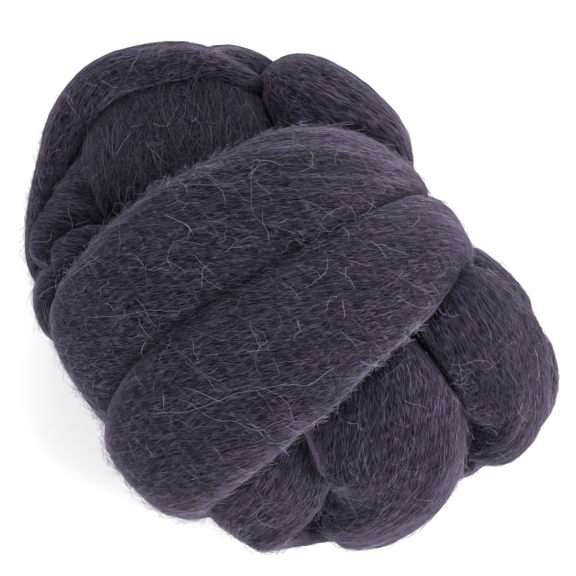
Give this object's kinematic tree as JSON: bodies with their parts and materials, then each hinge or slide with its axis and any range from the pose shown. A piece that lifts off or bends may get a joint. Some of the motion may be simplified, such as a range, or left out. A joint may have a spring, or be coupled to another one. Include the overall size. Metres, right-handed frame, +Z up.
{
  "type": "wool roving",
  "caption": "A thick, soft, untwisted strand of combed wool, looped and wound round its own middle into a hank, for spinning, felting or chunky knitting.",
  "frame": {"origin": "centre of the underside, on the surface that the hank rests on", "axes": "+X along the hank's length, towards its biggest curled loop; +Y across it; +Z up"},
  "size_m": [0.244, 0.1864, 0.1059],
  "materials": {
    "combed_wool": "soft, matt and fuzzy, dusky purple"
  },
  "bodies": {
    "root": {"roving": "combed_wool"}
  },
  "joints": []
}
